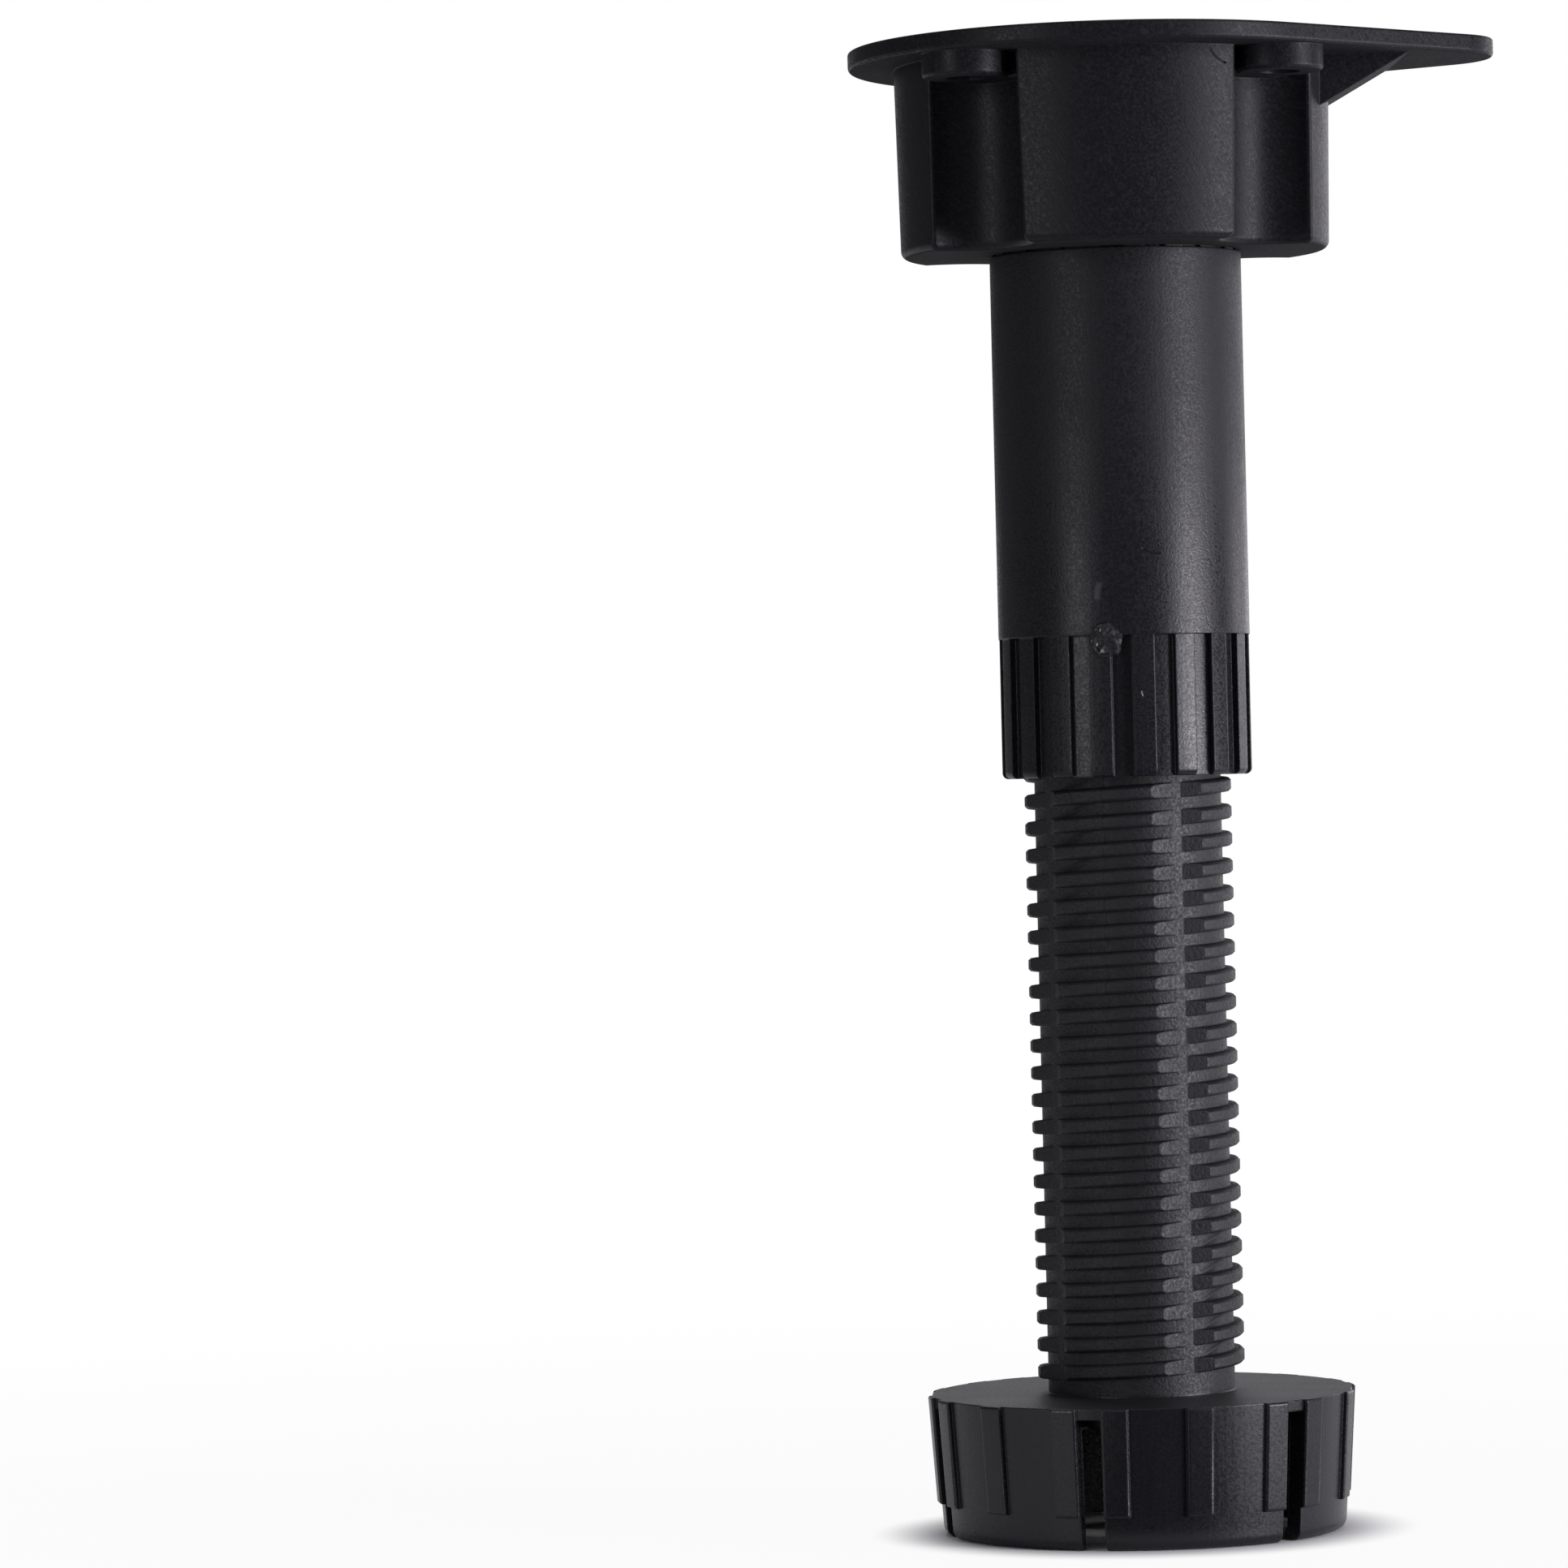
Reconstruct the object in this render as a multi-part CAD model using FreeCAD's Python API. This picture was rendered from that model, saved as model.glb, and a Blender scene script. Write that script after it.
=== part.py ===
import FreeCAD, Part
import math
import os

os.makedirs("parts", exist_ok=True)

# Adjustable cabinet leg, in millimetres.
# The origin is on the leg's axis, in the cabinet face on top of the flange plate.
# +Z is up, and the pointed lug of the plate reaches along +X.

# Heights
SHORTEST = 100.0  # cabinet face to floor with the foot screwed right in
TRAVEL = 70.0  # how far the foot screws out; the part is drawn screwed right out
FOOT_H = 16.0
SOCKET_H = 23.7  # cabinet face to the socket's lower face

# Flange plate and the socket under it
PLATE_R = 30.15
PLATE_T = 2.1
LUG_REACH = 44.0
LUG_TIP_R = 9.0
PILLAR_R = 24.9
PILLAR_DRAFT = 0.4  # the pillars are this much smaller in radius at the bottom
PILLAR_WALL = 2.2
COLLAR_WALL = 2.9
POCKET_R = 6.5  # round channels between the pillars, which let a screwdriver in
POCKET_DRAFT = 0.35  # the channels are this much larger in radius at the bottom
BOSS_H = 2.8
SCREW_HOLE_R = 2.25
GUSSET_W = 19.2
GUSSET_REACH = 33.2
GUSSET_SLOPE = 0.573

# Leg tube
TUBE_R = 14.4
TUBE_WALL = 2.2
GRIP_H = 16.0
GRIP_RIBS = 18
GRIP_GROOVE = 0.8
GRIP_STEP = 0.1  # the ribs stand this much lower than the smooth tube
GRIP_TURN = 4.4  # angle of the first rib from the front, in degrees
PLUG_STEP = 0.4  # the plug's ribs are this much smaller in radius than the tube
PLUG_GROOVE = 0.6

# Threaded spindle
PITCH = 3.111
CREST_R = 11.85
ROOT_R = 10.68
SPINDLE_WALL = 2.3
ENGAGED = 10.0  # length of spindle left in the tube when it is screwed right out
TOOTH_ROOT = 1.72  # thickness of a thread tooth at its root
TOOTH_CREST = 1.0
NOTCH_ROOT = (3.5, 1.1)  # angles from a sector's ends to its teeth, left and right
NOTCH_CREST = (14.5, 17.4)
SEAM_TURN = -19.0  # angle of the mould seam and of the first foot slot from the front
THREAD_LEVEL = -86.24  # a tooth's middle on the -X side is at this height

# Foot
FOOT_R = 24.05
FOOT_TAPER = 0.066
FOOT_DISC_T = 2.5
FOOT_WALL = 2.0
FOOT_SLOTS = 6
FOOT_SLOT_W = 2.8
FOOT_RIB = 0.55
FOOT_RIB_END = 12.2  # the ribs stop this far below the disc's top
FOOT_RIB_ANGLE = 7.3

# Clearances
PLUG_FIT = 0.05  # running fit of the plug in the collar, on the radius
SHOULDER_GAP = 0.2  # socket's lower face to the tube's shoulder
PLUG_TOP_GAP = 0.4
FOOT_GAP = 0.4  # tube's end to the foot when it is screwed right in
SPINDLE_GAP = 0.35  # thread crest to the tube's bore, on the radius
SPINDLE_TOP_GAP = 1.9
NUT_GAP = 0.3  # between the two threads
BOSS_GAP = 1.6  # screw boss to the channel round it
BOSS_RIM = 0.25  # screw boss to the plate's rim
BOSS_STAND = 4.0  # the screw's axis stands this far before the web behind it

# Roundings
PLATE_EDGE = 0.5
PILLAR_EDGE = 0.9
BOSS_EDGE = 0.5
GRIP_EDGE = 0.7
FOOT_EDGE = 1.2

# Derived levels and radii
TUBE_END = -(SHORTEST - FOOT_H - FOOT_GAP)
FOOT_TOP = -(SHORTEST + TRAVEL - FOOT_H)
FOOT_LOW = FOOT_TOP - FOOT_H
SPINDLE_L = min(TRAVEL + ENGAGED, SHORTEST - FOOT_H - PLATE_T - SPINDLE_TOP_GAP)
BORE_R = CREST_R + SPINDLE_GAP
OUTER_R = max(TUBE_R, BORE_R + TUBE_WALL)
GRIP_R = OUTER_R - GRIP_STEP
PLUG_R = OUTER_R - PLUG_STEP
SEAT_R = PLUG_R + PLUG_FIT
COLLAR_R = SEAT_R + COLLAR_WALL
BOSS_R = POCKET_R - BOSS_GAP
SCREW_CIRCLE_R = PLATE_R - BOSS_RIM - BOSS_R

UP = FreeCAD.Vector(0, 0, 1)


def point(x, y, z=0.0):
    return FreeCAD.Vector(x, y, z)


def polar(radius, degrees, z=0.0):
    """A point at an angle from the front of the leg, positive towards +X."""
    a = math.radians(degrees - 90)
    return point(radius * math.cos(a), radius * math.sin(a), z)


def turned(shape, degrees):
    copy = shape.copy()
    copy.rotate(point(0, 0), UP, degrees)
    return copy


def prism(points, height):
    """A straight solid on a polygon, upwards by the height."""
    return Part.Face(Part.makePolygon(points + points[:1])).extrude(point(0, 0, height))


def disc(radius, low, high, sweep=360.0):
    """A round solid between two levels, or a slice of it centred on the front."""
    shape = Part.makeCylinder(radius, high - low, point(0, 0, low), UP, sweep)
    return turned(shape, -90 - sweep / 2) if sweep < 360 else shape


def cone(low_radius, high_radius, low, high, sweep=360.0):
    shape = Part.makeCone(low_radius, high_radius, high - low, point(0, 0, low), UP, sweep)
    return turned(shape, -90 - sweep / 2) if sweep < 360 else shape


def slab(width, near, far, low, high):
    """A block that runs outwards to the front, between two distances from the axis."""
    return Part.makeBox(width, far - near, high - low, point(-width / 2, -far, low))


def edges_where(shape, test):
    return [e for e in shape.Edges if test(e)]


def flat_at(level):
    return lambda e: abs(e.BoundBox.ZMin - level) < 1e-4 and e.BoundBox.ZLength < 1e-4


def flange_plate():
    """A disc drawn out into a pointed lug, with softened rims."""
    tip = point(LUG_REACH - LUG_TIP_R, 0)
    lean = math.asin((PLATE_R - LUG_TIP_R) / tip.x)
    side = point(math.sin(lean), math.cos(lean))
    other = point(side.x, -side.y)
    start, end = side * PLATE_R, tip + side * LUG_TIP_R
    back, front = other * PLATE_R, tip + other * LUG_TIP_R
    outline = Part.Wire(
        [
            Part.Arc(start, point(-PLATE_R, 0), back).toShape(),
            Part.makeLine(back, front),
            Part.Arc(front, point(LUG_REACH, 0), end).toShape(),
            Part.makeLine(end, start),
        ]
    )
    plate = Part.Face(outline).extrude(point(0, 0, PLATE_T))
    plate.translate(point(0, 0, -PLATE_T))
    plate = plate.makeFillet(PLATE_EDGE, edges_where(plate, flat_at(-PLATE_T)))
    return plate.makeFillet(PLATE_EDGE / 2, edges_where(plate, flat_at(0.0)))


def screw_channel():
    """The front one of four round channels up to the plate, a little wider at the bottom."""
    height = 2 * (SOCKET_H - PLATE_T)
    low_r = POCKET_R + 2 * POCKET_DRAFT
    return Part.makeCone(low_r, POCKET_R, height, point(0, -SCREW_CIRCLE_R, -PLATE_T - height), UP)


def socket_body():
    """A round block, which the four channels divide into four pillars."""
    block = turned(cone(PILLAR_R - PILLAR_DRAFT, PILLAR_R, -SOCKET_H, -PLATE_T), 45)
    for k in range(4):
        block = block.cut(turned(screw_channel(), 45 + 90 * k))
    upright = edges_where(block, lambda e: e.BoundBox.ZLength > SOCKET_H / 2)
    block = block.makeFillet(PILLAR_EDGE / 2, upright)
    return block.makeFillet(PILLAR_EDGE, edges_where(block, flat_at(-SOCKET_H)))


def screw_boss():
    """The front one of four round bosses, with the web that fills the channel behind it."""
    low = -PLATE_T - BOSS_H
    high = -PLATE_T / 2
    post = Part.makeCylinder(BOSS_R, high - low, point(0, -SCREW_CIRCLE_R, low), UP)
    web = slab(2 * POCKET_R, COLLAR_R - COLLAR_WALL / 2, SCREW_CIRCLE_R - BOSS_STAND, low, high)
    shape = post.fuse(web).removeSplitter()
    return shape.makeFillet(BOSS_EDGE, edges_where(shape, flat_at(low)))


def gusset():
    """The wedge that stiffens the lug."""
    foot = PILLAR_R - PILLAR_WALL
    drop = GUSSET_SLOPE * (GUSSET_REACH - foot)
    half = GUSSET_W / 2
    corners = [
        point(foot, -half, -PLATE_T / 2),
        point(GUSSET_REACH, -half, -PLATE_T / 2),
        point(GUSSET_REACH, -half, -PLATE_T),
        point(foot, -half, -PLATE_T - drop),
    ]
    return Part.Face(Part.makePolygon(corners + corners[:1])).extrude(point(0, GUSSET_W, 0))


def pillar_core():
    """The hollow left inside the front pillar, open to the cabinet."""
    reach = PILLAR_R - PILLAR_DRAFT - PILLAR_WALL
    shape = disc(reach, -SOCKET_H + PILLAR_WALL, 1.0).cut(disc(COLLAR_R, -2 * SOCKET_H, 2.0))
    walled_r = POCKET_R + POCKET_DRAFT + PILLAR_WALL
    walled = Part.makeCylinder(walled_r, 2 * SOCKET_H, point(0, -SCREW_CIRCLE_R, -SOCKET_H), UP)
    for k in range(4):
        shape = shape.cut(turned(walled, 45 + 90 * k))
    return min(shape.Solids, key=lambda s: s.CenterOfMass.y)


def mounting_socket():
    pieces = [socket_body(), gusset()]
    cuts = [disc(SEAT_R, -2 * SOCKET_H, -PLATE_T)]
    cuts.append(cone(SEAT_R + PILLAR_EDGE / 2, SEAT_R, -SOCKET_H, -SOCKET_H + PILLAR_EDGE / 2))
    for k in range(4):
        pieces.append(turned(screw_boss(), 45 + 90 * k))
        cuts.append(turned(pillar_core(), 90 * k))
        hole = Part.makeCylinder(SCREW_HOLE_R, SOCKET_H, point(0, -SCREW_CIRCLE_R, -SOCKET_H / 2), UP)
        cuts.append(turned(hole, 45 + 90 * k))
    shape = flange_plate().multiFuse(pieces).removeSplitter()
    for cut in cuts:
        shape = shape.cut(cut)
    return shape


def groove_ring(outer, floor, low, high, first):
    """Straight grooves round the tube, as wide as the ribs between them."""
    half = 180.0 / GRIP_RIBS
    one = disc(outer + 1.0, low, high, half).cut(disc(floor, low - 1.0, high + 1.0))
    return [turned(one, first + half * (2 * k + 1)) for k in range(GRIP_RIBS)]


def helix_sweep(profile, turns, radius):
    """A profile carried up a right-handed screw line that starts on +X."""
    path = Part.makeHelix(PITCH, PITCH * turns, radius)
    wire = Part.makePolygon(profile + profile[:1])
    return Part.Wire(path.Edges).makePipeShell([wire], True, True)


def nut_thread():
    """The ridge inside the tube's end that runs between the spindle's teeth."""
    tip = ROOT_R + NUT_GAP
    middle = (CREST_R + ROOT_R) / 2
    room = (PITCH - (TOOTH_ROOT + TOOTH_CREST) / 2) / 2 - NUT_GAP
    lean = (TOOTH_ROOT - TOOTH_CREST) / 2 / (CREST_R - ROOT_R) / 2
    profile = []
    for r, side in ((BORE_R + 0.3, -1), (tip, -1), (tip, 1), (BORE_R + 0.3, 1)):
        profile.append(point(r, 0, side * (room + lean * (r - middle))))
    turns = math.floor((ENGAGED - PITCH) / PITCH) + 1
    ridge = helix_sweep(profile, turns, tip)
    half_turn, half_gap = PITCH / 2, PITCH / 2
    level = THREAD_LEVEL + half_turn + half_gap
    level += PITCH * math.ceil((TUBE_END + 0.6 * PITCH - level) / PITCH)
    ridge.translate(point(0, 0, level))
    return ridge


def leg_tube():
    shoulder = -SOCKET_H - SHOULDER_GAP
    plug_top = -PLATE_T - PLUG_TOP_GAP
    grip_top = TUBE_END + GRIP_H
    smooth = disc(OUTER_R, grip_top, shoulder)
    grip = disc(GRIP_R, TUBE_END, grip_top)
    grip = grip.makeFillet(GRIP_EDGE, edges_where(grip, flat_at(TUBE_END)))
    plug = disc(PLUG_R, shoulder, plug_top)
    plug = plug.makeChamfer(PLUG_STEP, edges_where(plug, flat_at(plug_top)))
    for cut in groove_ring(OUTER_R, GRIP_R - GRIP_GROOVE, TUBE_END - 1.0, grip_top, GRIP_TURN):
        grip = grip.cut(cut)
    for cut in groove_ring(OUTER_R, PLUG_R - PLUG_GROOVE, shoulder, plug_top + 1.0, GRIP_TURN):
        plug = plug.cut(cut)
    shape = smooth.multiFuse([grip, plug]).removeSplitter()
    shape = shape.cut(disc(BORE_R, TUBE_END - 1.0, plug_top + 1.0))
    return shape.fuse(nut_thread())


def thread_tooth():
    """One sector of the screw thread, its middle on +X, with slanting ends."""
    half_root, half_crest = TOOTH_ROOT / 2, TOOTH_CREST / 2
    soft = 0.25
    shoulder_r = CREST_R - soft
    half_shoulder = half_crest + soft
    buried = ROOT_R - 0.5
    lower = [
        point(buried, 0, -half_root),
        point(ROOT_R, 0, -half_root),
        point(shoulder_r, 0, -half_shoulder),
        point(CREST_R, 0, -half_crest),
    ]
    profile = lower + [point(p.x, 0, -p.z) for p in reversed(lower)]
    sweep = 90.0 - min(NOTCH_ROOT)
    tooth = turned(helix_sweep(profile, sweep / 360, ROOT_R), -sweep / 2)
    tooth.translate(point(0, 0, -PITCH * sweep / 720))
    ends = []
    for side, root_angle, crest_angle in zip((-1, 1), NOTCH_ROOT, NOTCH_CREST):
        root = polar(ROOT_R, 90 + side * (45 - root_angle))
        crest = polar(CREST_R, 90 + side * (45 - crest_angle))
        ends.append([root - (crest - root) * 0.6, root + (crest - root) * 2.2])
    keep = ends[0] + ends[1][::-1]
    block = prism([p + point(0, 0, -PITCH) for p in keep], 2 * PITCH)
    return tooth.common(block)


def thread_teeth(low, high):
    """Every tooth whose middle lies between two levels."""
    one = thread_tooth()
    teeth = []
    for k in range(4):
        turn = SEAM_TURN - 90 + 90 * k
        start = THREAD_LEVEL + PITCH * (turn - 180) / 360
        first = math.ceil((low - start) / PITCH)
        last = math.floor((high - start) / PITCH)
        for n in range(first, last + 1):
            tooth = turned(one, turn)
            tooth.translate(point(0, 0, start + PITCH * n))
            teeth.append(tooth)
    return teeth


def foot_shell():
    """The disc and its tapered skirt, open underneath."""
    low_r = FOOT_R - FOOT_TAPER * FOOT_H
    shell = cone(low_r, FOOT_R, FOOT_LOW, FOOT_TOP)
    shell = shell.makeFillet(FOOT_EDGE, edges_where(shell, flat_at(FOOT_LOW)))
    hollow_top = FOOT_TOP - FOOT_DISC_T
    hollow_r = FOOT_R - FOOT_TAPER * FOOT_DISC_T - FOOT_WALL
    return shell, cone(low_r - FOOT_WALL, hollow_r, FOOT_LOW, hollow_top)


def foot_rib():
    """One raised rib of the skirt, at the front, with softened edges."""
    low = FOOT_TOP - FOOT_RIB_END
    low_r = FOOT_R - FOOT_TAPER * FOOT_RIB_END + FOOT_RIB
    rib = cone(low_r, FOOT_R + FOOT_RIB, low, FOOT_TOP, FOOT_RIB_ANGLE)
    rib = rib.cut(disc(low_r - FOOT_WALL, low - 1.0, FOOT_TOP + 1.0))

    def outer_edge(e):
        ends = [p.Point.sub(point(0, 0, p.Point.z)).Length for p in e.Vertexes]
        return min(ends) > low_r - FOOT_RIB / 2

    return rib.makeFillet(FOOT_RIB / 2, edges_where(rib, outer_edge))


def foot_slot():
    """The front slot, from just under the disc's top down through the skirt."""
    top = FOOT_TOP - FOOT_DISC_T / 2
    near = FOOT_R - FOOT_TAPER * FOOT_H - 2 * FOOT_WALL
    return slab(FOOT_SLOT_W, near, FOOT_R + 5.0, FOOT_LOW - 1.0, top)


def foot_cup():
    """The foot with its ribs and slots, bored for the hollow spindle."""
    shell, hollow = foot_shell()
    step = 360.0 / FOOT_SLOTS
    edge = math.degrees(FOOT_SLOT_W / 2 / FOOT_R) + FOOT_RIB_ANGLE / 2
    rib, slot = foot_rib(), foot_slot()
    ribs, cuts = [], [hollow, disc(ROOT_R - SPINDLE_WALL, FOOT_LOW, FOOT_TOP + 1.0)]
    for k in range(FOOT_SLOTS):
        turn = SEAM_TURN + k * step
        ribs += [turned(rib, turn + offset) for offset in (edge, step / 2, step - edge)]
        cuts.append(turned(slot, turn))
    shell = shell.multiFuse(ribs)
    for cut in cuts:
        shell = shell.cut(cut)
    return shell


def foot_spindle():
    top = FOOT_TOP + SPINDLE_L
    seat = FOOT_TOP - FOOT_DISC_T / 2
    core = disc(ROOT_R, seat, top)
    core = core.makeChamfer(CREST_R - ROOT_R, edges_where(core, flat_at(top)))
    core = core.cut(disc(ROOT_R - SPINDLE_WALL, seat - 1.0, top - SPINDLE_WALL))
    spindle = core.multiFuse(thread_teeth(FOOT_TOP + 0.6 * PITCH, top - 0.7 * PITCH))
    return spindle.fuse(foot_cup())


nodes = {
    "mounting_socket": mounting_socket(),
    "leg_tube": leg_tube(),
    "foot_spindle": foot_spindle(),
}
for name, shape in nodes.items():
    if shape.ShapeType != "Solid":
        shape = shape.Solids[0] if len(shape.Solids) == 1 else shape
    print(name, shape.ShapeType, len(shape.Solids), shape.isValid(), round(shape.Volume), shape.BoundBox)
    shape.exportStep("parts/" + name + ".step")
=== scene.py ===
# %% [markdown]
# A black plastic cabinet leg, drawn screwed right out. Three mouldings make it up: a socket with a
# lugged plate, a tube with a ribbed grip, and a spindle with a slotted foot. Their shapes come from
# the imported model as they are, so this script is mostly about finish, light and camera.

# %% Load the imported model
import math

import bmesh
import bpy
from mathutils import Matrix, Vector


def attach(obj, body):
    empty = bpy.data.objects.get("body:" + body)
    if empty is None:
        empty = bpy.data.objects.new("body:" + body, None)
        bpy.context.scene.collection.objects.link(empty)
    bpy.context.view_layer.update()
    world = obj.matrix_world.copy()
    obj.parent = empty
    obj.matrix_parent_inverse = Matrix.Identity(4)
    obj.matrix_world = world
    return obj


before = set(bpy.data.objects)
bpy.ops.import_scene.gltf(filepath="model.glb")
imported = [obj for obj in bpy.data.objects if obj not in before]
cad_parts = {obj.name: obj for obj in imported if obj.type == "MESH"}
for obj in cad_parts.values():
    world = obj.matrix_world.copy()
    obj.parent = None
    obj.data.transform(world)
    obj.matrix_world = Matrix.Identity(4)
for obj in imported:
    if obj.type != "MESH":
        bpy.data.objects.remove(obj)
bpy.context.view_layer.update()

print("pieces:", sorted(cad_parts))

# %% [markdown]
# The finishes need to know where things are on the leg: where the smooth tube turns into the grip,
# where the spindle meets the foot, and at which angle the mould closed. These are the real sizes in
# metres, and angles are counted from the front of the leg, positive towards the lug.

# %% Places on the leg
MM = 0.001
GRIP_TOP = -67.6 * MM
LEG_MIDDLE = -85.0 * MM
FOOT_TOP = -154.0 * MM
FLOOR_LEVEL = -170.0 * MM
PILLAR_RADIUS = 24.7 * MM
TUBE_RADIUS = 14.4 * MM
THREAD_RADIUS = 11.3 * MM
FOOT_RADIUS = 24.0 * MM
SEAM_ANGLE = math.radians(-19.0)


def around(turn, reach, level):
    """A point at a turn from the front, a reach from the leg's axis and a level."""
    return (reach * math.sin(turn), -reach * math.cos(turn), level)


print("leg height", round(-FLOOR_LEVEL / MM), "mm")

# %% [markdown]
# Shader maths reads best as plain expressions. A Wire is one output of a node, and the usual signs
# between wires and numbers add the Math nodes. A Finish is a material being built, and its method
# `add` makes any other node: settings first, then values or wires for its sockets.

# %% Wires and finishes
PLASTIC_IOR = 1.49
EDGE_SAMPLES = 6


class Wire:
    """One output socket, with arithmetic that adds Math nodes."""

    def __init__(self, finish, socket):
        self.finish = finish
        self.socket = socket

    def maths(self, operation, *values):
        slots = dict(enumerate(values))
        return self.finish.add("ShaderNodeMath", {"operation": operation}, slots)

    def __add__(self, other):
        return self.maths("ADD", self, other)

    __radd__ = __add__

    def __sub__(self, other):
        return self.maths("SUBTRACT", self, other)

    def __rsub__(self, other):
        return self.maths("SUBTRACT", other, self)

    def __mul__(self, other):
        return self.maths("MULTIPLY", self, other)

    __rmul__ = __mul__

    def __truediv__(self, other):
        return self.maths("DIVIDE", self, other)

    def __rtruediv__(self, other):
        return self.maths("DIVIDE", other, self)

    def __pow__(self, other):
        return self.maths("POWER", self, other)

    def __abs__(self):
        return self.maths("ABSOLUTE", self)

    def at_least(self, low):
        return self.maths("MAXIMUM", self, low)

    def step(self, low, high):
        """0 below low, 1 above high, and a smooth rise between."""
        settings = {"interpolation_type": "SMOOTHSTEP", "clamp": True}
        slots = {"Value": self, "From Min": low, "From Max": high}
        return self.finish.add("ShaderNodeMapRange", settings, slots)


class Finish:
    """A material being built, or the nodes of the room around the leg."""

    def __init__(self, name, shelf=bpy.data.materials):
        self.material = shelf.new(name)
        self.material.use_nodes = True
        self.tree = self.material.node_tree
        self.tree.nodes.clear()

    def add(self, kind, settings=None, slots=None, out=0):
        node = self.tree.nodes.new(kind)
        for key, value in (settings or {}).items():
            setattr(node, key, value)
        for key, value in (slots or {}).items():
            if isinstance(value, Wire):
                self.tree.links.new(value.socket, node.inputs[key])
            else:
                node.inputs[key].default_value = value
        return Wire(self, node.outputs[out])

    def add_output(self, shader, kind="ShaderNodeOutputMaterial"):
        out = self.tree.nodes.new(kind)
        self.tree.links.new(shader.socket, out.inputs["Surface"])

    def split(self, vector):
        """The x, y and z of a vector."""
        return [self.add("ShaderNodeSeparateXYZ", {}, {0: vector}, axis) for axis in "XYZ"]

    def vector(self, x, y, z):
        return self.add("ShaderNodeCombineXYZ", {}, {"X": x, "Y": y, "Z": z})

    def spot(self):
        """The position on the piece."""
        return self.add("ShaderNodeTexCoord", out="Object")

    def places(self):
        """The position on the piece, its height and its angle from the front."""
        spot = self.spot()
        x, y, z = self.split(spot)
        return spot, z, x.maths("ARCTAN2", x, 0 - y)

    def flatness(self):
        """1 on level faces, 0 on upright ones."""
        facing = self.add("ShaderNodeNewGeometry", out="True Normal")
        return abs(self.split(facing)[2]).step(0.75, 0.95)

    def edges(self, radius):
        """The normal of a surface with rounded edges, and 1 along those edges, where the finishes
        paint a highlight.
        """
        soft = self.add("ShaderNodeBevel", {"samples": EDGE_SAMPLES}, {"Radius": radius})
        hard = self.add("ShaderNodeNewGeometry", out="Normal")
        product = {"operation": "DOT_PRODUCT"}
        agree = self.add("ShaderNodeVectorMath", product, {0: soft, 1: hard}, "Value")
        return soft, (1.0 - agree).step(0.01, 0.12)

    def noise(self, where, scale, detail=2.0, rough=0.5):
        slots = {"Vector": where, "Scale": scale, "Detail": detail, "Roughness": rough}
        return self.add("ShaderNodeTexNoise", {}, slots, "Fac")

    def mix(self, share, first, second):
        """A colour between two colours."""
        slots = {0: share, 6: first, 7: second}
        return self.add("ShaderNodeMix", {"data_type": "RGBA"}, slots, 2)

    def bump(self, height, distance, normal):
        slots = {"Strength": 1.0, "Distance": distance, "Height": height, "Normal": normal}
        return self.add("ShaderNodeBump", {}, slots)

    def seen(self, mirrored):
        """1 to the camera, and the given share in mirror images and through clear things."""
        kinds = ("Is Camera Ray", "Is Glossy Ray", "Is Transmission Ray")
        camera, glossy, clear = (self.add("ShaderNodeLightPath", out=kind) for kind in kinds)
        return camera + (glossy + clear) * mirrored

    def plastic(self, gloss, tint, rough, normal):
        """Close the finish as one plastic surface."""
        slots = {"Base Color": tint, "Roughness": rough, "Normal": normal}
        slots.update({"IOR": PLASTIC_IOR, "Specular IOR Level": gloss})
        self.add_output(self.add("ShaderNodeBsdfPrincipled", {}, slots))
        return self.material


print("finish bench ready")

# %% [markdown]
# The socket is satin black polypropylene. Handling has left fine hairlines, all leaning the same
# way, and they only show where a light is mirrored. They could be drawn as curves, but hundreds of
# hairlines are a texture: noise stretched along one direction of the unrolled surface. The grain of
# the skin sits mostly in the roughness, because a strong bump makes black plastic look like rubber.
# Moulded edges are never quite sharp, so the finish rounds them off and paints a pale highlight along
# them.

# %% Socket finish
EDGE = 0.25 * MM
GLOSS = 0.15  # an eroded mould leaves a skin that mirrors less than clear plastic
LEAST_ROUGH = 0.12
MARK_BEND = 6.0 * MM  # twice the radius in which a short mark bends
SOCKET_RELIEF = 0.035 * MM
BLACK = (0.0066, 0.0064, 0.0082, 1.0)
# pale rubbed plastic for hairlines, specks and coarse skin, also painted along rounded edges as a
# highlight
BLACK_WEAR_AND_HIGHLIGHT = (0.022, 0.0214, 0.0255, 1.0)
BLACK_DEEP = (0.002, 0.002, 0.0025, 1.0)  # inside scratches, gouges and seams


def hairlines(finish, angle, z, radius, lean, spacing, length, rough=0.6):
    """Fine rub marks on an unrolled cylinder, leaning by an angle from upright."""
    along = angle * radius
    c, s = math.cos(lean), math.sin(lean)
    across = along * c + z * s
    down = z * c - along * s
    return finish.noise(finish.vector(across / spacing, down / length, 0.0), 1.0, 3.0, rough)


def mark(finish, angle, z, place, radius, lean, length, width):
    """1 along a short bent line on an unrolled cylinder. The place is degrees and millimetres."""
    along = (angle - math.radians(place[0])) * radius
    up = z - place[1] * MM
    c, s = math.cos(math.radians(lean)), math.sin(math.radians(lean))
    run = along * s + up * c
    off_line = abs(along * c - up * s - run * run / MARK_BEND)
    on_line = 1.0 - off_line.step(width * 0.3, width)
    return on_line * (1.0 - abs(run).step(length * 0.7, length))


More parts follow.
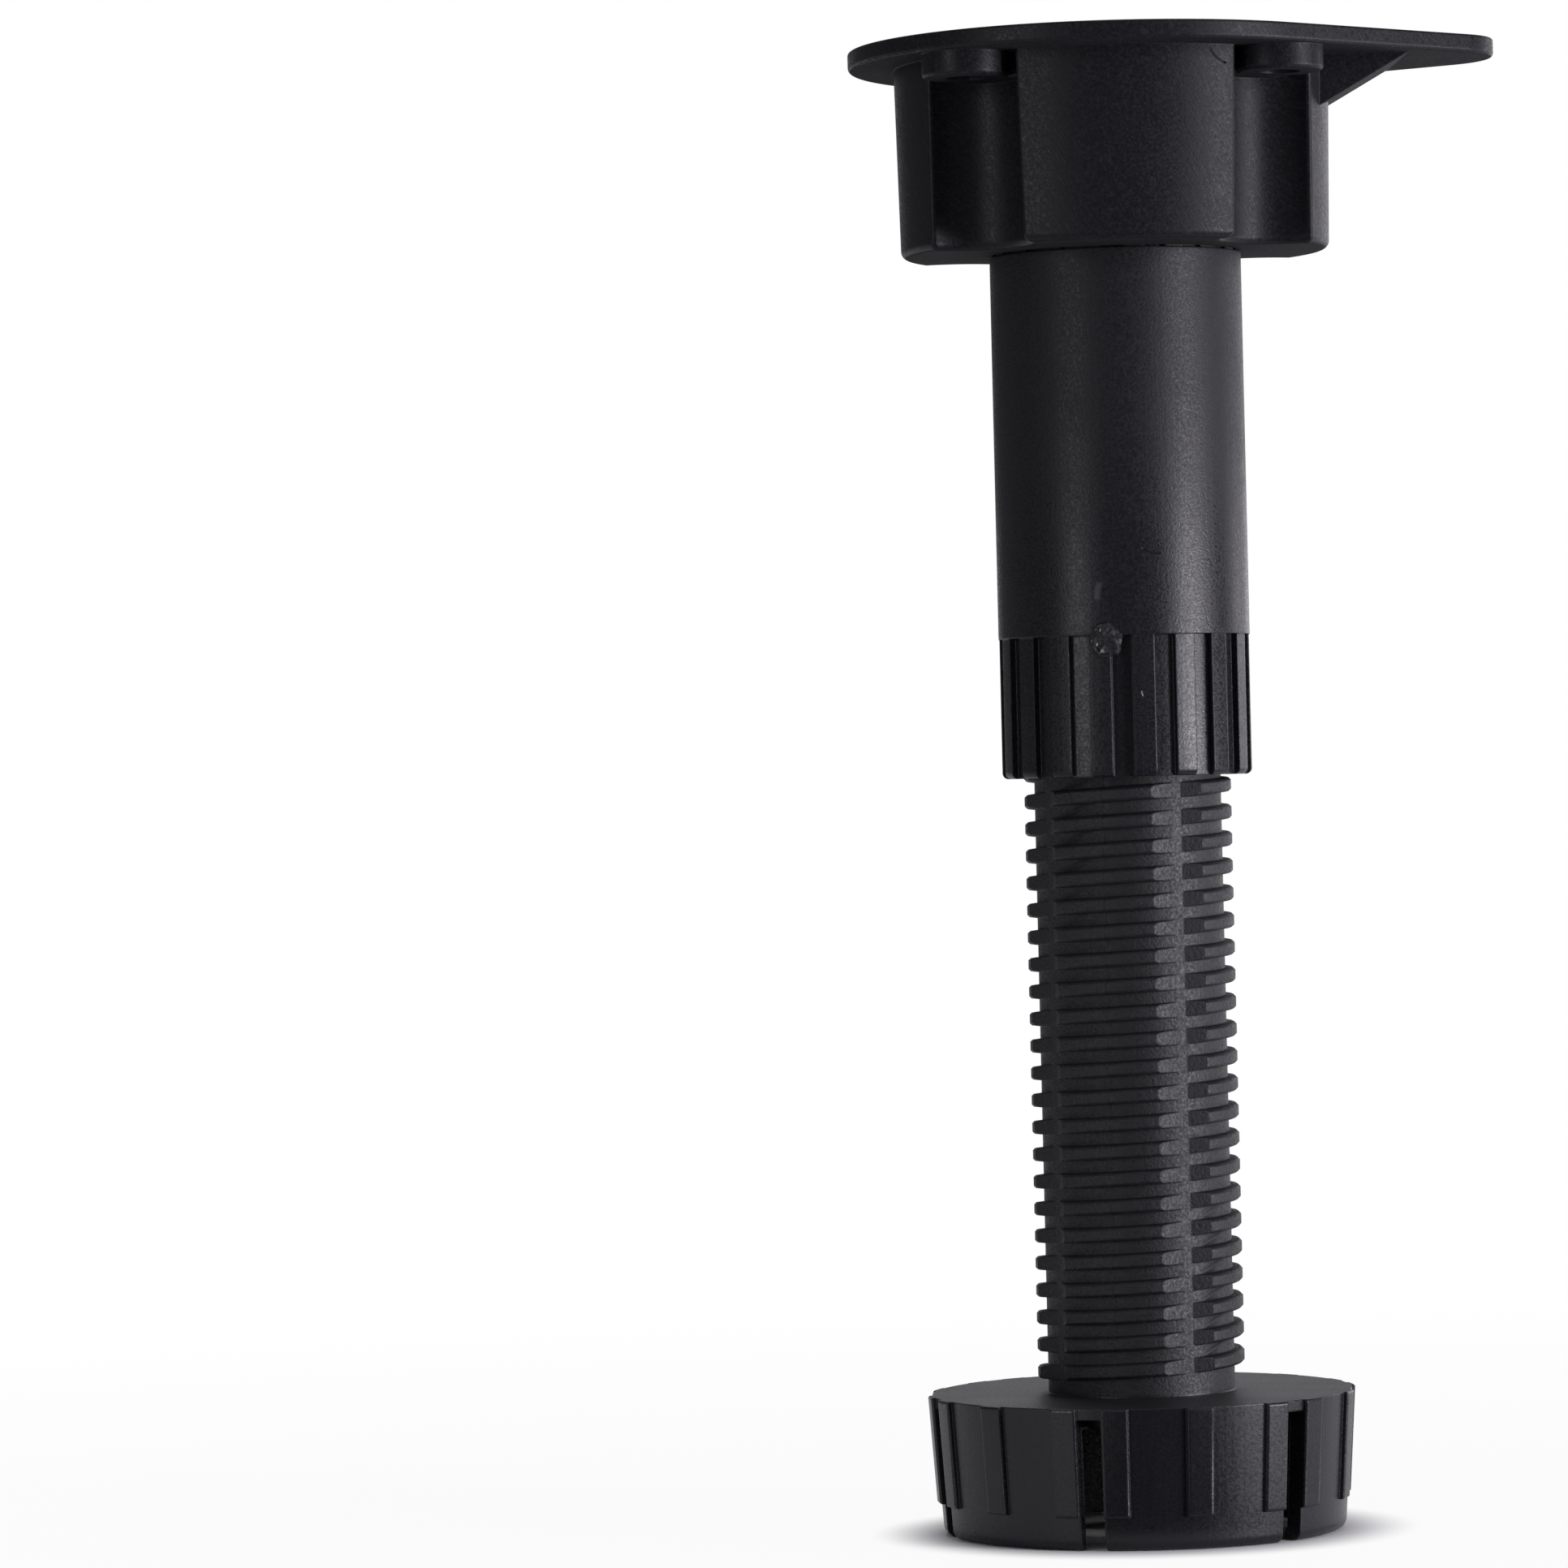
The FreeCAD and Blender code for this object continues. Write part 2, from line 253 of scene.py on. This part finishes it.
def socket_finish():
    f = Finish("satin_black_socket")
    spot, z, angle = f.places()
    grain = f.noise(spot, 5200.0, 2.0)
    cloud = f.noise(spot, 120.0, 3.0)
    speckle = f.noise(spot, 3000.0, 3.0, 0.65)
    lean = math.radians(32)
    rub = hairlines(f, angle, z, PILLAR_RADIUS, lean, spacing=0.16 * MM, length=3.2 * MM)
    marks = rub.step(0.52, 0.74) * cloud.step(0.35, 0.62)
    gouge = mark(f, angle, z, (23.9, -3.6), PILLAR_RADIUS, -50, 1.5 * MM, 0.14 * MM)
    soft, edge_highlight = f.edges(EDGE)
    tint = f.mix(marks * 0.7 + speckle.step(0.45, 0.7) * 0.4, BLACK, BLACK_WEAR_AND_HIGHLIGHT)
    tint = f.mix(gouge, tint, BLACK_DEEP)
    # painted highlight: a pale tint along the rounded edges
    tint = f.mix(edge_highlight * 0.5, tint, BLACK_WEAR_AND_HIGHLIGHT)
    rough = 0.34 + cloud * 0.1 + grain * 0.08 + (speckle - 0.5) * 0.8 - marks * 0.16
    rough = (rough + f.flatness() * 0.45).at_least(LEAST_ROUGH)
    relief = speckle * 0.5 + grain * 0.2 + rub * 0.7 - gouge * 4.0
    return f.plastic(GLOSS, tint, rough, f.bump(relief, SOCKET_RELIEF, soft))


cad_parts["mounting_socket"].data.materials[0] = socket_finish()
print("socket finish on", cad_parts["mounting_socket"].name)

# %% [markdown]
# The tube has a finely eroded skin where it is smooth, and it gets glossier towards the grip because
# fingers polish it there. One material does both, blended by height. A scratch, a nick and a drip
# mark lie where the picture shows them.

# %% Tube finish
TUBE_GLOSS = 0.22
TUBE_RELIEF = 0.05 * MM
POLISHED_LENGTH = 30.0 * MM  # how far above the grip fingers still reach
SCRAPED = (0.3, 0.3, 0.31, 1.0)


def tube_finish():
    f = Finish("grained_black_tube")
    spot, z, angle = f.places()
    grip = 1.0 - z.step(GRIP_TOP - 0.3 * MM, GRIP_TOP + 0.3 * MM)
    polished = 1.0 - z.step(GRIP_TOP, GRIP_TOP + POLISHED_LENGTH)
    grain = f.noise(spot, 3800.0, 2.0)
    cloud = f.noise(spot, 160.0, 3.0)
    speckle = f.noise(spot, 3300.0, 3.0, 0.7)
    streak = hairlines(f, angle, z, TUBE_RADIUS, 0.0, 0.5 * MM, 30.0 * MM, rough=0.5)
    lean = math.radians(-25)
    rub = hairlines(f, angle, z, TUBE_RADIUS, lean, spacing=0.2 * MM, length=2.0 * MM)
    marks = rub.step(0.62, 0.8) * cloud.step(0.45, 0.65)
    scratch = mark(f, angle, z, (8.4, -58.4), TUBE_RADIUS, -72, 1.2 * MM, 0.1 * MM)
    nick = mark(f, angle, z, (3.2, -74.3), TUBE_RADIUS, -15, 0.35 * MM, 0.12 * MM)
    drip = mark(f, angle, z, (-16.0, -62.6), TUBE_RADIUS, 8, 1.1 * MM, 0.5 * MM)
    soft, edge_highlight = f.edges(EDGE)
    tint = f.mix(speckle.step(0.4, 0.8) * 0.5 + marks * 0.5 + streak * 0.1, BLACK, BLACK_WEAR_AND_HIGHLIGHT)
    tint = f.mix(scratch * 0.8, tint, BLACK_DEEP)
    tint = f.mix(nick * 0.6 + drip * 0.1, tint, SCRAPED)
    # painted highlight: the edges of the grip's ribs are tinted pale
    tint = f.mix(edge_highlight * grip * 0.6, tint, BLACK_WEAR_AND_HIGHLIGHT)
    rough = 0.4 - polished * 0.18 + cloud * 0.1 + grain * 0.08 + (speckle - 0.5) * 0.8
    relief = (grain * 0.4 + speckle * 0.6) * (1.0 - grip * 0.4)
    relief = relief + streak * 0.25 + rub * 0.2 - scratch * 2.0
    normal = f.bump(relief, TUBE_RELIEF, soft)
    return f.plastic(TUBE_GLOSS, tint, rough.at_least(LEAST_ROUGH), normal)


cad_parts["leg_tube"].data.materials[0] = tube_finish()
print("tube finish on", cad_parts["leg_tube"].name)

# %% [markdown]
# Spindle and foot are one moulding with two skins: the spindle is matt from a spark-eroded mould,
# the skirt of the foot is satin with upright streaks from being drawn out of its mould. The two
# mould halves met along a line down the spindle, which shows as a fine dark seam, and the skin is
# coarser on one side of it.

# %% Spindle and foot finish
FOOT_GLOSS = 0.36
FOOT_RELIEF = 0.05 * MM


def foot_finish():
    f = Finish("matt_spindle_satin_foot")
    spot, z, angle = f.places()
    foot = 1.0 - z.step(FOOT_TOP - 0.1 * MM, FOOT_TOP + 0.5 * MM)
    spindle = 1.0 - foot
    grain = f.noise(spot, 3000.0, 3.0)
    cloud = f.noise(spot, 140.0, 3.0)
    speckle = f.noise(spot, 3000.0, 3.0, 0.65)
    streak = hairlines(f, angle, z, FOOT_RADIUS, 0.0, 0.45 * MM, 14.0 * MM, rough=0.5) * foot
    soft, edge_highlight = f.edges(EDGE)
    off_seam = abs(angle - SEAM_ANGLE) * THREAD_RADIUS
    seam = (1.0 - off_seam.step(0.05 * MM, 0.16 * MM)) * spindle * cloud.step(0.3, 0.5)
    before_seam = 1.0 - angle.step(SEAM_ANGLE - 0.01, SEAM_ANGLE + 0.01)
    coarse = spindle * before_seam * angle.step(-1.05, -0.95)
    # grain, streaks and the coarse side are the plastic's own tone; the share along the edges is a
    # painted highlight
    tint = f.mix(grain * 0.15 + streak * 0.15 + edge_highlight * 0.2 + coarse * 0.2, BLACK, BLACK_WEAR_AND_HIGHLIGHT)
    tint = f.mix(seam * 0.8, tint, BLACK_DEEP)
    rough = 0.2 + spindle * 0.26 + cloud * 0.1 + grain * 0.08 + f.flatness() * foot * 0.15
    rough = (rough + (speckle - 0.5) * (0.3 + spindle * 0.5)).at_least(LEAST_ROUGH)
    relief = (grain * 0.5 + speckle) * (0.2 + spindle * 0.8 + coarse * 1.2)
    relief = relief + streak * 0.4 - seam * 0.4
    return f.plastic(FOOT_GLOSS, tint, rough, f.bump(relief, FOOT_RELIEF, soft))


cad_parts["foot_spindle"].data.materials[0] = foot_finish()
print("foot finish on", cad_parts["foot_spindle"].name)

# %% [markdown]
# Where the plastic was injected into the tube's mould, the sprue was torn off and left a rough scar
# across the edge between smooth tube and grip. It could be a bump in the material, but it stands up
# from the surface, so it is a small mesh: a ring-by-ring patch laid on the tube, with broken ridges.

# %% Torn gate scar
SCAR_ANGLE = math.radians(-12.8)
SCAR_LEVEL = -68.1 * MM
SCAR_RADIUS = 2.05 * MM
SCAR_RINGS = 6
SCAR_SPOKES = 22
SCAR_EDGE = 0.06 * MM
SCAR_RELIEF = 0.08 * MM
TORN = (0.03, 0.03, 0.032, 1.0)
# pale tint painted on the scar's broken ridges as a highlight
SCAR_RIDGE_HIGHLIGHT = (0.09, 0.09, 0.095, 1.0)


def crumble(n):
    """A repeatable number between 0 and 1 for the nth broken corner."""
    return (math.sin(n * 12.9898 + 4.1) * 43758.5453) % 1.0


def scar_height(share, k, ring):
    """Millimetres a point of the scar stands up: buried rim, broken ridge, hollow middle."""
    rough = crumble(k * 7 + ring * 31)
    if share > 0.99:
        return -0.25
    if share > 0.7:
        return 0.05 + 0.3 * rough
    return 0.02 + 0.3 * rough * (0.4 + share)


def scar_corner(k, ring):
    """Where the kth spoke of the scar meets a ring."""
    share = ring / SCAR_RINGS
    turn = math.tau * k / SCAR_SPOKES
    ragged = (crumble(k * 3 + 1) + crumble((k + 1) % SCAR_SPOKES * 3 + 1)) / 2
    reach = SCAR_RADIUS * share * (0.76 + 0.42 * ragged)
    sideways = reach * math.cos(turn) * 0.95
    up = reach * math.sin(turn) * 1.08
    radius = TUBE_RADIUS + scar_height(share, k, ring) * MM
    return around(SCAR_ANGLE + sideways / TUBE_RADIUS, radius, SCAR_LEVEL + up)


def gate_scar():
    bm = bmesh.new()
    grid = []
    for ring in range(1, SCAR_RINGS + 1):
        grid.append([bm.verts.new(scar_corner(k, ring)) for k in range(SCAR_SPOKES)])
    middle = bm.verts.new(around(SCAR_ANGLE, TUBE_RADIUS + 0.12 * MM, SCAR_LEVEL))
    for k in range(SCAR_SPOKES):
        n = (k + 1) % SCAR_SPOKES
        bm.faces.new((middle, grid[0][k], grid[0][n]))
        for inner, outer in zip(grid, grid[1:]):
            bm.faces.new((inner[k], outer[k], outer[n], inner[n]))
    bmesh.ops.triangulate(bm, faces=bm.faces[:])
    mesh = bpy.data.meshes.new("gate_scar")
    bm.to_mesh(mesh)
    bm.free()
    scar = bpy.data.objects.new("gate_scar", mesh)
    bpy.context.scene.collection.objects.link(scar)
    return scar


def scar_finish():
    f = Finish("torn_black_plastic")
    fibre = f.noise(f.spot(), 1500.0, 4.0, 0.7)
    soft, edge_highlight = f.edges(SCAR_EDGE)
    tint = f.mix(fibre.step(0.45, 0.75), BLACK, TORN)
    # painted highlight: the scar's broken ridges are tinted pale
    tint = f.mix(edge_highlight * 0.6, tint, SCAR_RIDGE_HIGHLIGHT)
    rough = 0.22 + fibre * 0.25
    return f.plastic(FOOT_GLOSS, tint, rough, f.bump(fibre, SCAR_RELIEF, soft))


scar = gate_scar()
scar.data.materials.append(scar_finish())
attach(scar, "tube")
print("gate scar:", len(scar.data.polygons), "faces")

# %% [markdown]
# The leg stands on a white table in front of a white card. Stronger lamps would make them white, but
# would also wash out the black plastic. So the paper itself is lifted to white for the camera, and by
# a smaller share in mirror images. Close to the foot it stays plain paper, which keeps the shadow.

# %% Table and card
WHITE = (1.0, 1.0, 1.0, 1.0)
PAPER = (0.9, 0.9, 0.9, 1.0)
TABLE_RADIUS = 1.6
TABLE_SIDES = 64
CARD_Y = 1.25
CARD_HALF = 0.42
CARD_TOP = 0.32


def paper_finish(name, glow, mirrored):
    """White paper that is lifted towards plain white where it is seen or mirrored."""
    f = Finish(name)
    x, y, _ = f.split(f.spot())
    away = (x * x + y * y) ** 0.5
    open_floor = away.step(FOOT_RADIUS - 1.5 * MM, FOOT_RADIUS + 8.0 * MM)
    lift = glow + (1.0 - glow) * away.step(0.05, 0.4)
    share = f.seen(mirrored) * open_floor * lift
    paper = f.add("ShaderNodeBsdfDiffuse", {}, {"Color": PAPER})
    light = f.add("ShaderNodeEmission", {}, {"Color": WHITE, "Strength": 1.0})
    f.add_output(f.add("ShaderNodeMixShader", {}, {0: share, 1: paper, 2: light}))
    return f.material


def flat_piece(name, corners, material):
    mesh = bpy.data.meshes.new(name)
    mesh.from_pydata(corners, [], [tuple(range(len(corners)))])
    piece = bpy.data.objects.new(name, mesh)
    bpy.context.scene.collection.objects.link(piece)
    mesh.materials.append(material)
    return piece


table_turns = [math.tau * k / TABLE_SIDES for k in range(TABLE_SIDES)]
table_rim = [around(turn, TABLE_RADIUS, FLOOR_LEVEL) for turn in table_turns]
flat_piece("table", table_rim, paper_finish("white_table", glow=0.93, mirrored=0.3))
card_low = [(-CARD_HALF, CARD_Y, FLOOR_LEVEL), (CARD_HALF, CARD_Y, FLOOR_LEVEL)]
card_high = [(CARD_HALF, CARD_Y, CARD_TOP), (-CARD_HALF, CARD_Y, CARD_TOP)]
flat_piece("card", card_low + card_high, paper_finish("white_card", glow=1.0, mirrored=0.12))
print("table reaches", TABLE_RADIUS, "m, card stands", CARD_Y, "m behind the leg")

# %% [markdown]
# A photographer keeps the front of a shiny black thing dark by laying a black flag before it, out of
# the picture. Here it is a sector of black paper on the table that only mirror images see, so the
# table stays white from every side.

# %% Black flag
FLAG_TURNS = [math.radians(-24 + 4 * k) for k in range(17)]
FLAG_NEAR = 27.0 * MM
FLAG_FAR = 0.7
FLAG_LEVEL = FLOOR_LEVEL + 1.0 * MM
FLAG_BLACK = (0.006, 0.006, 0.006, 1.0)


def flag_finish():
    f = Finish("black_paper")
    f.add_output(f.add("ShaderNodeBsdfDiffuse", {}, {"Color": FLAG_BLACK}))
    return f.material


near_edge = [around(turn, FLAG_NEAR, FLAG_LEVEL) for turn in FLAG_TURNS]
far_edge = [around(turn, FLAG_FAR, FLAG_LEVEL) for turn in reversed(FLAG_TURNS)]
flag = flat_piece("black_flag", near_edge + far_edge, flag_finish())
flag.visible_camera = False
flag.visible_diffuse = False
flag.visible_shadow = False
flag.visible_transmission = False
print("flag of", len(FLAG_TURNS) - 1, "strips")

# %% [markdown]
# Two tall soft boxes light the leg: a strong one on the right and a weaker one on the left. Each
# leaves an upright band of light on every round surface, and the front between them stays dark.
# A low strip reaches the skirt of the foot, and weak lights above and behind open up the top faces
# and the back. The room itself is dim, and white only where it is seen.

# %% Lights
LAMP_TINT = (1.0, 0.97, 1.04)
ROOM_DIM = (0.06, 0.062, 0.066, 1.0)
ROOM_MIRRORED = 0.05


def soft_box(name, angle, distance, level, size, watts):
    """An area lamp at an angle from the front, aimed at the leg's middle."""
    lamp = bpy.data.lights.new(name, "AREA")
    lamp.shape = "RECTANGLE"
    lamp.size, lamp.size_y = size
    lamp.energy = watts
    lamp.color = LAMP_TINT
    holder = bpy.data.objects.new(name, lamp)
    holder.visible_camera = False
    holder.location = around(math.radians(angle), distance, level)
    aim = Vector((0.0, 0.0, LEG_MIDDLE)) - holder.location
    holder.rotation_euler = aim.to_track_quat("-Z", "Y").to_euler()
    bpy.context.scene.collection.objects.link(holder)


soft_box("right_box", angle=55, distance=0.9, level=0.03, size=(0.22, 0.42), watts=4.2)
soft_box("left_box", angle=-47, distance=0.95, level=0.05, size=(0.2, 0.45), watts=1.9)
soft_box("rim_box", angle=124, distance=1.0, level=0.03, size=(0.4, 0.42), watts=1.3)
soft_box("rear_box", angle=153, distance=1.0, level=0.06, size=(0.24, 0.45), watts=0.7)
soft_box("low_strip", angle=66, distance=0.55, level=-0.125, size=(0.26, 0.06), watts=2.2)
soft_box("top_box", angle=10, distance=0.2, level=1.1, size=(1.0, 1.0), watts=3.0)
soft_box("back_box", angle=183, distance=0.9, level=0.85, size=(0.9, 0.5), watts=3.5)

room = Finish("room", bpy.data.worlds)
walls = room.mix(room.seen(ROOM_MIRRORED), ROOM_DIM, WHITE)
room.add_output(room.add("ShaderNodeBackground", {}, {"Color": walls}), "ShaderNodeOutputWorld")
bpy.context.scene.world = room.material

# %% [markdown]
# The camera stands at half the leg's height, a little to the left of it, with a long lens, so the
# plate is seen from below and the foot from above. It leans by a degree and a half, as the picture
# does.

# %% Camera
PICTURE = 1932  # pixels across
FOCAL = 8566.0  # in the same pixels
SENSOR = 36.0
FAR_CLIP = 20.0
EYE = Vector((-0.0394, -0.7976, -0.08352))
EYE_TURN = math.radians(-1.6)
LEAN = 0.0239

camera_data = bpy.data.cameras.new("camera")
camera_data.sensor_width = SENSOR
camera_data.lens = SENSOR * FOCAL / PICTURE
camera_data.clip_end = FAR_CLIP
camera = bpy.data.objects.new("camera", camera_data)
bpy.context.scene.collection.objects.link(camera)
turned = Matrix.Rotation(EYE_TURN, 3, "Z")
forward = turned @ Vector((0, 1, 0))
level_right = turned @ Vector((1, 0, 0))
level_up = Vector((0, 0, 1))
right = level_right * math.cos(LEAN) - level_up * math.sin(LEAN)
up = level_right * math.sin(LEAN) + level_up * math.cos(LEAN)
facing = Matrix((right, up, -forward)).transposed().to_4x4()
camera.matrix_world = Matrix.Translation(turned @ EYE) @ facing
bpy.context.scene.camera = camera
bpy.context.scene.view_settings.view_transform = "Standard"
print("lens", round(camera_data.lens, 1), "mm")
